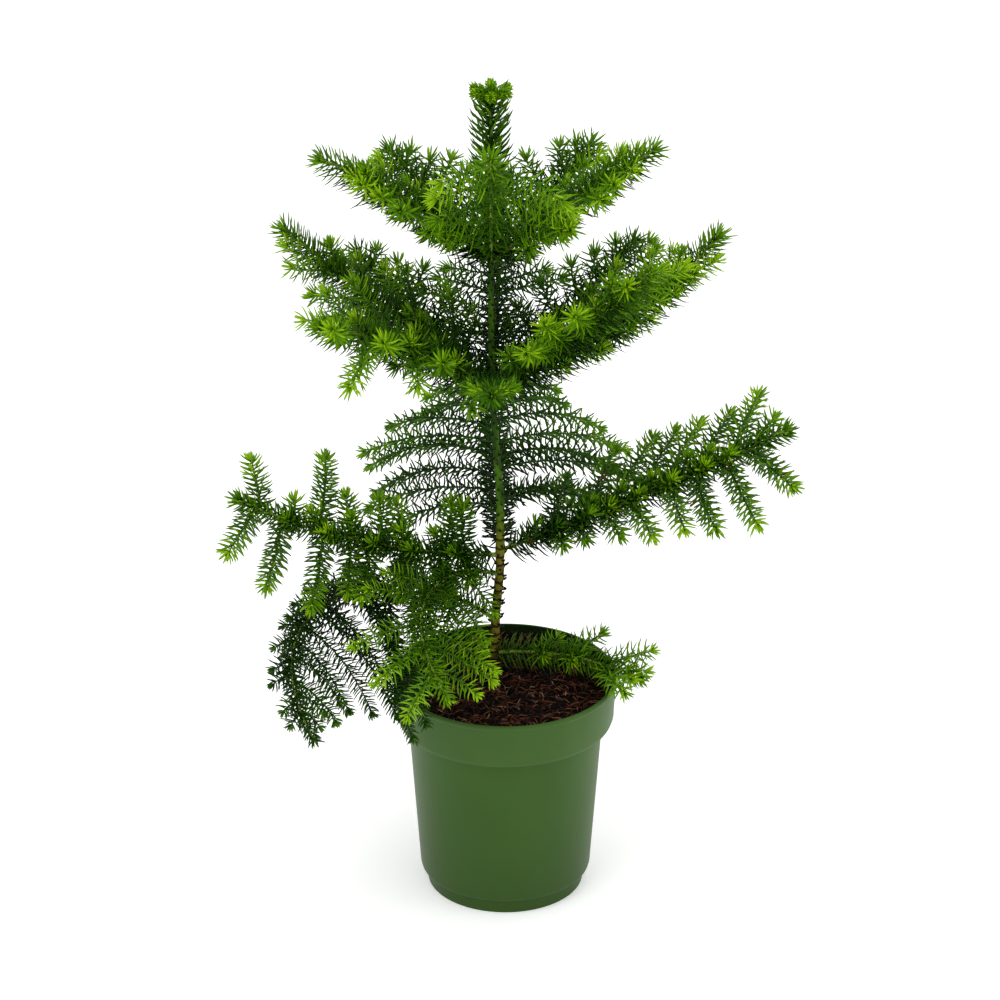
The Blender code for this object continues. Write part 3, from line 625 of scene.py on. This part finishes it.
bough("upper_back_right", upper + stagger, 52, 0.11, 24, 22, 0.038, lift=0.15, lastAt=0.84)
bough("middle_left", middle + stagger, 165, 0.16, 32, 36, 0.056, roll=-8, lift=0.2, pairs=5, lastAt=0.72,
      fork=-1, crown=4, leftShares=(0.8, 0.95, 0.85, 0.8, 0.6), rightShares=(0.9, 0.9, 0.7, 0.5, 0.35),
      tone=0.08, skirt=0.6, full=2.0)
bough("middle_front_left", middle - stagger, 213, 0.144, 40, 20, 0.056, roll=-12, lift=0.1, swing=0.6,
      lastAt=0.86, crown=4, leftShares=(0.6, 0.8, 0.6, 0.8, 1.2, 0.8), tone=0.12, skirt=1.0)
bough("middle_front", middle + stagger, -90, 0.112, 21, 21, 0.016, lift=0.3, lastAt=0.8, needle=0.0092,
      tone=-0.02)
bough("middle_front_right", middle - stagger, -30, 0.15, 38, 48, 0.05, roll=-14, lift=0.2, swing=0.3,
      left=1.4, lastAt=0.84, crown=4, tone=0.12, skirt=0.8)
bough("middle_right", middle + stagger, 10, 0.169, 15, 50, 0.055, roll=6, lift=0.2, lastAt=0.76, fork=1,
      crown=4, rightShares=(0.32, 0.38, 0.4, 0.38, 0.4, 0.42), tone=0.1, skirt=0.8, full=2.0)
bough("middle_back_right", middle - stagger, 50, 0.15, 20, 22, 0.048, lift=0.4, left=0.75, right=1.15,
      lastAt=0.86, tone=-0.06)
bough("middle_back", middle + stagger, 88, 0.13, 18, 18, 0.052, lift=-0.3, spread=85, tipSpread=60,
      tone=-0.1)
bough("middle_back_left", middle - stagger, 130, 0.142, 20, 20, 0.045, lift=0.4, right=0.75, lastAt=0.86,
      tone=-0.06)
bough("lower_left", lower - 3 * stagger, 186, 0.172, 2, 30, 0.066, roll=-30, lift=0.1, pairs=8,
      firstAt=0.12, lastAt=0.9, spread=100, tipSpread=82, forward=0.2, leftWider=6, crown=9,
      leftShares=(0.3, 0.5, 0.6, 0.68, 0.62, 0.82, 0.85, 0.6),
      rightShares=(0.5, 0.6, 0.55, 0.5, 0.45, 0.85, 0.25, 0.57), needle=0.0104, width=0.0015, density=1950,
      tone=0.08, rounds=0.5, taper=0.1)
bough("lower_right", lower - stagger, 0, 0.196, 22, 28, 0.062, roll=10, lift=0.1, pairs=8, firstAt=0.17,
      lastAt=0.88, spread=74, tipSpread=62, rightLift=-0.5, rightWider=18, crown=14,
      leftShares=(0.7, 0.95, 1.0, 0.9, 0.85, 0.85, 0.92, 0.4),
      rightShares=(0.28, 0.3, 0.4, 0.58, 0.6, 0.95, 0.92, 0.82), needle=0.0106, width=0.00148, density=1950,
      tone=0.04, rounds=0.6, skirt=0.5, dry=0.004, taper=0.1)
bough("lower_back", lower + stagger, 92, 0.185, 11, 11, 0.104, lift=-0.9, forward=0.0, spread=60,
      tipSpread=50, last=0.55, pairs=8, needle=0.011, width=0.00145, tone=-0.06, rounds=0.5, taper=0.3)
bough("lower_front", 0.205, 200, 0.15, 22, -46, 0.06, swerve=115, roll=-10, lift=-0.2, lastAt=0.85,
      spread=95, leftLift=-0.2, rightLift=0.2, leftShares=(0.6, 0.9, 0.98, 0.98, 0.78, 0.6),
      rightShares=(0.47, 0.53, 0.65, 0.9, 0.9, 0.7), needle=0.0104, width=0.00118, density=1450, tone=0.16,
      taper=0.4)
bough("basal_left", 0.173, 157, 0.243, 29, -36, 0.105, swerve=150, pairs=14, firstAt=0.13, lastAt=0.92,
      spread=84, tipSpread=66, forward=0.1, lift=-0.4, leftLift=-1.0,
      leftShares=(0.55, 0.65, 0.75, 0.85, 0.95, 1.0, 1.0, 0.9, 0.75, 0.6, 0.45, 0.33, 0.22, 0.14),
      rightShares=(0.5, 0.5, 0.47, 0.42, 0.34, 0.27, 0.2, 0.15, 0.12, 0.12, 0.12, 0.12, 0.1, 0.1),
      needle=0.0094, width=0.00126, density=1850, tone=-0.03, taper=0.4, youth=0.4)
bough("basal_right", 0.15, -15, 0.099, 12, -14, 0.04, swerve=-8, lift=0.2, firstAt=0.3, lastAt=0.9, pairs=4,
      spread=62, leftShares=(0.5, 0.9, 1.0, 0.3), rightShares=(0.15, 0.2, 1.0, 0.3), needle=0.0116,
      width=0.00126, density=1600, tone=0.22, taper=0.3, youth=0.7)


def heading(azimuth, rise):
    turn, climb = math.radians(azimuth), math.radians(rise)
    return np.array([math.cos(turn) * math.cos(climb), math.sin(turn) * math.cos(climb), math.sin(climb)])


def boughPath(shape):
    steps = growth["pathSteps"]
    points = [trunkCentre(shape["height"])]
    for step in range(steps):
        along = (step + 0.5) / steps
        way = heading(shape["azimuth"] + shape["swerve"] * along,
                      shape["rise"] + (shape["tipRise"] - shape["rise"]) * along)
        points.append(points[-1] + way * shape["length"] / steps)
    return np.array(points)


def pointsAt(path, share):
    # places on a path and its ways there, by shares of its length
    place = np.clip(share, 0.0, 1.0) * (len(path) - 1)
    index = np.minimum(place.astype(int), len(path) - 2)
    step = path[index + 1] - path[index]
    return path[index] + step * (place - index)[:, None], unit(step)


def frondSide(tangent, roll):
    # the way across the fan of twigs
    side = unit(np.cross(tangent, (0.0, 0.0, 1.0)))
    turn = math.radians(roll)
    return side * math.cos(turn) + np.cross(tangent, side) * math.sin(turn)


def twigPath(shape, path, along, hand, length, spread, lift):
    root, tangent = (found[0] for found in pointsAt(path, np.array([along])))
    side = frondSide(tangent, shape["roll"]) * hand
    lean = math.radians(spread)
    way = tangent * math.cos(lean) + side * math.sin(lean)
    curve = tangent * shape["forward"] + np.array([0.0, 0.0, lift])
    steps = growth["twigSteps"]
    points = [root]
    for step in range(steps):
        points.append(points[-1] + unit(way + curve * (step + 0.5) / steps) * length / steps)
    return np.array(points)


def twigShare(shape, part):
    # a twig's length against the longest, which is at the fan's widest place
    if part < shape["peak"]:
        return shape["first"] + (1.0 - shape["first"]) * math.sin(0.5 * math.pi * part / shape["peak"])
    wave = math.cos(0.5 * math.pi * (part - shape["peak"]) / (1.0 - shape["peak"]))
    return shape["last"] + (1.0 - shape["last"]) * wave


def twigPlan(shape, path, chance):
    # twigs in pairs, a second shoot beside some limbs' ends, and short shoots on some limbs' upper side
    plan = []
    pitch = (shape["lastAt"] - shape["firstAt"]) / shape["pairs"]
    for pair in range(shape["pairs"]):
        part = pair / (shape["pairs"] - 1)
        along = shape["firstAt"] + (shape["lastAt"] - shape["firstAt"]) * part
        spread = shape["spread"] + (shape["tipSpread"] - shape["spread"]) * part
        for hand, side in ((1, "right"), (-1, "left")):
            shares = shape[side + "Shares"]
            share = shares[pair] if shares else twigShare(shape, part) * shape[side]
            length = share * shape["longest"] * (1.0 + chance.uniform(-growth["jitter"], growth["jitter"]))
            byTurns = 1 if (pair % 2 == 0) == (hand == 1) else -1
            shifted = along + pitch * chance.uniform(-growth["shift"], growth["shift"])
            shifted = min(growth["lastPlace"], shifted)
            turn = spread + shape[side + "Wider"]
            turn += chance.uniform(-growth["spreadJitter"], growth["spreadJitter"])
            lift = shape["lift"] + shape[side + "Lift"] + shape["swing"] * byTurns
            lift += chance.uniform(-growth["liftJitter"], growth["liftJitter"])
            plan.append((shifted, twigPath(shape, path, shifted, hand, length, turn, lift)))
    if shape["fork"]:
        along = growth["forkAt"]
        second = twigPath(shape, path, along, shape["fork"], growth["fork"], growth["forkSpread"], 0.0)
        plan.append((along, second))
    for place in range(shape["crown"]):
        slack = chance.uniform(*growth["crownSlack"])
        along = growth["crownFrom"] + growth["crownSpan"] * (place + slack) / shape["crown"]
        length = growth["crown"] * chance.uniform(*growth["crownLengths"])
        hand = 1 if place % 2 else -1
        shoot = twigPath(shape, path, along, hand, length, growth["crownSpread"], growth["crownLift"])
        plan.append((along, shoot))
    return plan


# needles: angles from the shoot in degrees; skirt is what the needles under a limb do more

needles = {"stand": 68.0, "tipStand": 50.0, "tipPower": 8, "standJitter": 4.0, "bend": 16.0, "thick": 0.62,
           "stations": (0.0, 0.34, 0.72, 1.0), "widths": (0.85, 1.0, 0.8), "widthJitter": (0.85, 1.12),
           "golden": 137.5, "turnJitter": 0.1, "start": 0.03, "fewest": 6, "slack": 0.4, "sunk": 0.6,
           "rosette": 10, "rosetteFrom": 0.965, "rosetteStand": (6.0, 52.0), "rosetteLength": 0.85,
           "lengthJitter": 0.07, "ownLength": 1.12, "shortTip": 0.1, "tipFade": 8.0, "taperFrom": 0.6,
           "skirtFade": 3.0, "skirtStand": 8.0, "skirtBend": 1.6, "skirtLength": 0.75, "skirtShade": 0.45,
           "tone": 0.375, "ownShade": 0.05, "twigShade": 0.04, "outerGlow": 0.22, "tipGlow": 0.3,
           "toneJitter": 0.05, "roughness": 0.48, "gloss": 0.08,
           # the greens run from dark to light; which one a needle gets carries painted shade and painted
           # light, besides the lighter young growth at the tips
           "greens": ((6, 26, 0), (16, 46, 0), (34, 72, 1), (62, 106, 2), (98, 146, 4), (142, 186, 14)),
           "dry": (96, 58, 22)}


def needleArrays(root, first, last, length, width, up):
    # closed awls: three-sided, three rings and a point, bending from the first way to the last
    stations = needles["stations"]
    points, ways = [root], [first]
    for low, high in zip(stations, stations[1:]):
        halfway = (low + high) / 2.0
        step = unit(first * (1.0 - halfway) + last * halfway)
        points.append(points[-1] + step * (length * (high - low))[:, None])
        ways.append(unit(first * (1.0 - high) + last * high))
    corners = []
    for point, way, share in zip(points, ways, needles["widths"]):
        side = unit(np.cross(way, up))
        over = np.cross(side, way)
        half = (width * share / 2.0)[:, None]
        corners += [point + side * half, point - side * half, point - over * half * 2.0 * needles["thick"]]
    corners.append(points[-1])
    return np.stack(corners, axis=1)


needleSides = [(ring * 3 + a, ring * 3 + b, ring * 3 + 3 + b, ring * 3 + 3 + a)
               for ring in (0, 1) for a, b in ((0, 1), (1, 2), (2, 0))]
needleFaces = [(0, 2, 1), *needleSides, (6, 7, 9), (7, 8, 9), (8, 6, 9)]


def needleMesh(name, groups):
    corners = np.concatenate([group[0] for group in groups])
    kinds = np.concatenate([group[1] for group in groups])
    count, size = corners.shape[:2]
    faces = [tuple(size * each + corner for corner in face) for each in range(count) for face in needleFaces]
    return meshFromArrays(name, corners.reshape(-1, 3), faces, np.repeat(kinds, len(needleFaces)))


def spiral(path, share, rounds, plane, chance):
    # the needles' feet on a shoot, its ways there, and the ways out of it
    place, tangent = pointsAt(path, share)
    side, over = across(tangent, plane)
    total = len(share)
    turn = np.radians(needles["golden"]) * np.arange(total) + chance.normal(0.0, needles["turnJitter"], total)
    outward = unit(side * np.cos(turn)[:, None] + over * (np.sin(turn) * rounds)[:, None])
    return place, tangent, outward


def growNeedles(path, shape, radius, chance, tone, start=0.0, stand=None, own=False, plane=(0.03, 0.02, 1.0)):
    # a spiral of needles along a shoot, combed towards the fan's plane and closing to a rosette at its tip
    span = np.linalg.norm(np.diff(path, axis=0), axis=1).sum() * (1.0 - start)
    count = max(needles["fewest"], int(span * shape["density"] * (shape["full"] if own else 1.0)))
    share = start + (1.0 - start) * (np.arange(count) + chance.uniform(0.0, needles["slack"], count)) / count
    share = np.concatenate([share, chance.uniform(needles["rosetteFrom"], 1.0, needles["rosette"])])
    total = len(share)
    rounds = np.where(np.arange(total) < count, shape["rounds"], 1.0)
    place, tangent, outward = spiral(path, share, rounds, plane, chance)
    base = needles["stand"] if stand is None else stand
    angle = base + (needles["tipStand"] - base) * share ** needles["tipPower"]
    angle += chance.normal(0.0, needles["standJitter"], total)
    angle[count:] = chance.uniform(*needles["rosetteStand"], needles["rosette"])

    # the needles under a limb are long and swept, and painted darker as shade
    skirt = np.zeros(total)
    if own:
        fade = np.minimum(1.0, (1.0 - share) * needles["skirtFade"])
        skirt = shape["skirt"] * np.maximum(0.0, -outward[:, 2]) * fade
    lean = np.radians(angle - needles["skirtStand"] * skirt)
    curve = np.radians(needles["bend"]) / 2.0 * (shape["curl"] + needles["skirtBend"] * skirt)
    first, last = leaning(tangent, outward, lean + curve), leaning(tangent, outward, lean - curve)

    length = shape["needle"] * (needles["ownLength"] if own else 1.0)
    length = length * (1.0 + chance.normal(0.0, needles["lengthJitter"], total))
    shortTip = needles["shortTip"]
    length *= 1.0 - shortTip + shortTip * np.minimum(1.0, (1.0 - share) * needles["tipFade"])
    length *= 1.0 + needles["skirtLength"] * skirt
    taperFrom = needles["taperFrom"]
    length *= 1.0 - shape["taper"] * np.clip((share - taperFrom) / (1.0 - taperFrom), 0.0, 1.0)
    length[count:] *= needles["rosetteLength"]
    width = shape["width"] * chance.uniform(*needles["widthJitter"], total)
    root = place + outward * radius * needles["sunk"]
    corners = needleArrays(root, first, unit(last), length, width, tangent)

    # painted light and shade: the bough's tone and the darker skirt under a limb, and the lighter shoot tips,
    # which are partly painted light and partly real young growth
    glow = tone + needles["tipGlow"] * shape["youth"] * share ** 2.0 - needles["skirtShade"] * skirt
    glow += chance.normal(0.0, needles["toneJitter"], total)
    greens = len(needles["greens"])
    kinds = np.clip((glow * greens).astype(int), 0, greens - 1)
    kinds[chance.random(total) < shape["dry"]] = greens   # the tint after the greens is the dry one
    return corners, kinds


def needleFinishes():
    return [Finish(f"needleTint{index}", tint, needles["roughness"], needles["gloss"])
            for index, tint in enumerate([*needles["greens"], needles["dry"]])]


def woodFinish():
    finish = Finish("boughBark", wood["colour"], wood["roughness"], wood["gloss"])
    patches = finish.cloud(*wood["patches"])
    fine = finish.cloud(*wood["fine"])
    finish.feed(Base_Color=finish.mix(patches.between(*wood["patchRange"]), *wood["barks"]),
                Roughness=wood["roughness"] + fine * 0.3)
    finish.relief(fine, *wood["bump"])
    return finish


def limbRadii(shape, path):
    # tapering and rough, with a collar at the trunk
    along = np.linspace(0.0, 1.0, len(path))
    rough = np.array([noise.noise(Vector(point) * wood["roughRate"]) for point in path])
    taper = wood["limbRadius"] + (wood["tipRadius"] - wood["limbRadius"]) * along
    collar = wood["collar"] * np.exp(-along * shape["length"] / wood["collarLength"])
    return taper * (1.0 + wood["rough"] * rough) + collar


def buildTubes(name, paths, radii, sides, kinds, finishes, replaced=()):
    points, faces = tubeArrays(np.array(paths), np.array(radii), sides)
    mesh = meshFromArrays(name, points, faces, np.repeat(kinds, len(faces) // len(paths)))
    addPiece(mesh, finishes, replaced)


def buildFoliage(tints):
    limbs, radii, twigs, twigKinds = [], [], [], []
    total, start = 0, needles["start"]
    for number, (name, shape) in enumerate(boughs.items()):
        chance = np.random.default_rng(growth["seed"] + number)
        path = boughPath(shape)
        limbs.append(path)
        radii.append(limbRadii(shape, path))
        tone = needles["tone"] + shape["tone"]
        own = tone - needles["ownShade"]
        groups = [growNeedles(path, shape, wood["limbRadius"], chance, own, start, own=True)]
        for where, twig in twigPlan(shape, path, chance):
            limb = pointsAt(path, np.array([where]))[1][0]
            plane = np.cross(frondSide(limb, shape["roll"]), limb)
            twigs.append(twig)
            # twig stems on the darker boughs get the darker green: painted shade
            twigKinds.append(2 if shape["tone"] < 0.05 else 3)
            # twigs farther out along the limb get lighter greens, painted light as well as young growth; the
            # twig shade is painted shade
            glow = tone - needles["twigShade"] + needles["outerGlow"] * shape["youth"] * where
            glow += chance.normal(0.0, needles["toneJitter"])
            groups.append(growNeedles(twig, shape, wood["twigRadius"], chance, glow, start, plane=plane))
        total += sum(len(group[1]) for group in groups)
        addPiece(needleMesh("needles_" + name, groups), tints, ["foliage_" + name])
    buildTubes("bough_stems", limbs, radii, wood["limbSides"], [0] * len(limbs), [woodFinish()],
               ["bough_" + name for name in boughs])
    twigRadii = [np.linspace(wood["twigRadius"], wood["twigTip"], growth["twigSteps"] + 1)] * len(twigs)
    buildTubes("side_twigs", twigs, twigRadii, wood["twigSides"], twigKinds, tints)
    print("foliage done:", total, "needles on", len(twigs), "twigs")


tints = needleFinishes()
buildFoliage(tints)


# leader, top bud and the scales along the trunk

leader = {"foot": 0.429, "below": 0.012, "short": 0.003, "steps": 20, "radius": 0.0016, "stand": 52.0,
          "needle": 0.0166, "width": 0.0018, "density": 2600.0, "tone": 0.46, "rounds": 1.0, "dry": 0.0,
          "taper": 0.0, "youth": 0.6, "curl": 2.6, "seed": 41}
bud = {"shoots": 6, "shootLength": 0.0118, "rise": 14.0, "upright": 0.0062, "sunk": 0.002, "steps": 6,
       "radius": 0.0012, "tipRadius": 0.0008, "sides": 8, "tint": 4, "needleFoot": 0.001, "stand": 44.0,
       "needle": 0.0046, "width": 0.00115, "density": 4200.0, "tone": 0.66}
scales = {"perMetre": 760.0, "foot": 0.139, "steps": 120, "length": 0.0036, "lengthJitter": (0.8, 1.2),
          "width": 0.002, "stand": 74.0, "standJitter": 8.0, "curl": 0.7, "slack": 0.8, "sunk": 0.85,
          "longShare": 0.16, "longer": 2.5, "thinner": 0.7, "greenFrom": 0.235, "kindShares": (0.75, 0.25),
          "husks": {"scaleDark": (24, 17, 6), "scaleBrown": (62, 48, 16)}, "roughness": 0.7, "gloss": 0.1,
          "seed": 23}


def buildLeader(tints):
    chance = np.random.default_rng(leader["seed"])
    path = trunkPath(leader["foot"] - leader["below"], trunk["top"] - leader["short"], leader["steps"])
    group = growNeedles(path, leader, leader["radius"], chance, leader["tone"], stand=leader["stand"])
    addPiece(needleMesh("needles_leader", [group]), tints, ["foliage_leader"])

    foot = trunkCentre(trunk["top"] - bud["sunk"])
    shape = dict(leader, needle=bud["needle"], width=bud["width"], density=bud["density"])
    shoots = [np.linspace(foot, foot + np.array([0.0, 0.0, bud["upright"]]), bud["steps"])]
    for index in range(bud["shoots"]):
        way = heading(360.0 * (index + 0.5) / bud["shoots"], bud["rise"])
        shoots.append(np.linspace(foot, foot + way * bud["shootLength"], bud["steps"]))
    groups = [growNeedles(shoot, shape, bud["needleFoot"], chance, bud["tone"], stand=bud["stand"])
              for shoot in shoots]
    addPiece(needleMesh("needles_top_bud", groups), tints, ["top_bud"])
    radii = [np.linspace(bud["radius"], bud["tipRadius"], bud["steps"])] * len(shoots)
    buildTubes("bud_shoots", shoots, radii, bud["sides"], [bud["tint"]] * len(shoots), tints)


def buildScales(tints):
    # small awls on a spiral round the trunk, a few of them long
    chance = np.random.default_rng(scales["seed"])
    path = trunkPath(scales["foot"], leader["foot"], scales["steps"])
    count = int((leader["foot"] - scales["foot"]) * scales["perMetre"])
    share = (np.arange(count) + chance.uniform(0.0, scales["slack"], count)) / count
    place, tangent = pointsAt(path, share)
    side, over = across(tangent, (0.0, -1.0, 0.0))
    turn = np.radians(needles["golden"]) * np.arange(count)
    outward = leaning(side, over, turn)
    radius = np.array([trunkRadius(height) for height in place[:, 2]])
    lean = np.radians(scales["stand"] + chance.normal(0.0, scales["standJitter"], count))
    first, last = leaning(tangent, outward, lean), leaning(tangent, outward, lean * scales["curl"])
    length = scales["length"] * chance.uniform(*scales["lengthJitter"], count)
    width = np.full(count, scales["width"])
    long = chance.random(count) < scales["longShare"]
    length[long] *= scales["longer"]
    width[long] *= scales["thinner"]
    root = place + outward * radius[:, None] * scales["sunk"]
    corners = needleArrays(root, first, last, length, width, tangent)
    green = np.where(place[:, 2] > scales["greenFrom"], len(scales["husks"]), 0)
    kinds = chance.choice(2, count, p=scales["kindShares"]) + green
    husks = [Finish(name, colour, scales["roughness"], scales["gloss"])
             for name, colour in scales["husks"].items()]
    addPiece(needleMesh("trunk_scales", [(corners, kinds)]), husks + tints[:2])


buildLeader(tints)
buildScales(tints)
print("leader and scales done")


# stage, light and camera: each lamp has its place, its size and its power in watts

stage = {"floor": 40.0, "floorTint": (250, 250, 250), "floorRoughness": 0.9, "floorGlow": 0.28, "world": 0.88,
         "lamps": {"key": ((-1.0, -1.3, 2.8), 1.6, 19.0), "fill": ((1.9, -0.6, 1.5), 1.3, 4.5),
                   "top": ((0.3, 0.5, 2.8), 1.6, 14.0)}, "lampAim": (0.0, 0.0, 0.27),
         "lens": 175.7, "farthest": 100.0, "pitch": 25.94, "distance": 3.0,
         "aim": (-0.0034, 0.0, 0.265)}
white = (1.0, 1.0, 1.0, 1.0)


def buildStage():
    bm = bmesh.new()
    bmesh.ops.create_grid(bm, x_segments=1, y_segments=1, size=stage["floor"] / 2.0)
    mesh = bpy.data.meshes.new("floor")
    bm.to_mesh(mesh)
    bm.free()
    pale = Finish("paleFloor", stage["floorTint"], stage["floorRoughness"], 0.0)
    pale.shader.inputs["Emission Color"].default_value = white
    pale.shader.inputs["Emission Strength"].default_value = stage["floorGlow"]
    mesh.materials.append(pale.material)
    addObject("floor", mesh)

    world = bpy.data.worlds.new("studio")
    scene.world = world
    world.use_nodes = True
    background = world.node_tree.nodes["Background"]
    background.inputs["Color"].default_value = white
    background.inputs["Strength"].default_value = stage["world"]

    for name, (place, size, power) in stage["lamps"].items():
        lamp = bpy.data.lights.new(name, "AREA")
        lamp.shape = "DISK"
        lamp.size = size
        lamp.energy = power
        light = addObject(name, lamp)
        light.location = place
        light.rotation_euler = (Vector(stage["lampAim"]) - Vector(place)).to_track_quat("-Z", "Y").to_euler()


def buildCamera():
    lens = bpy.data.cameras.new("photoCamera")
    lens.lens = stage["lens"]
    lens.clip_end = stage["farthest"]
    camera = addObject("photoCamera", lens)
    pitch = math.radians(stage["pitch"])
    away = Vector((0.0, -math.cos(pitch), math.sin(pitch))) * stage["distance"]
    camera.location = Vector(stage["aim"]) + away
    camera.rotation_euler = (math.pi / 2.0 - pitch, 0.0, 0.0)
    scene.camera = camera
    scene.view_settings.view_transform = "Standard"


buildStage()
buildCamera()
print("stage done")
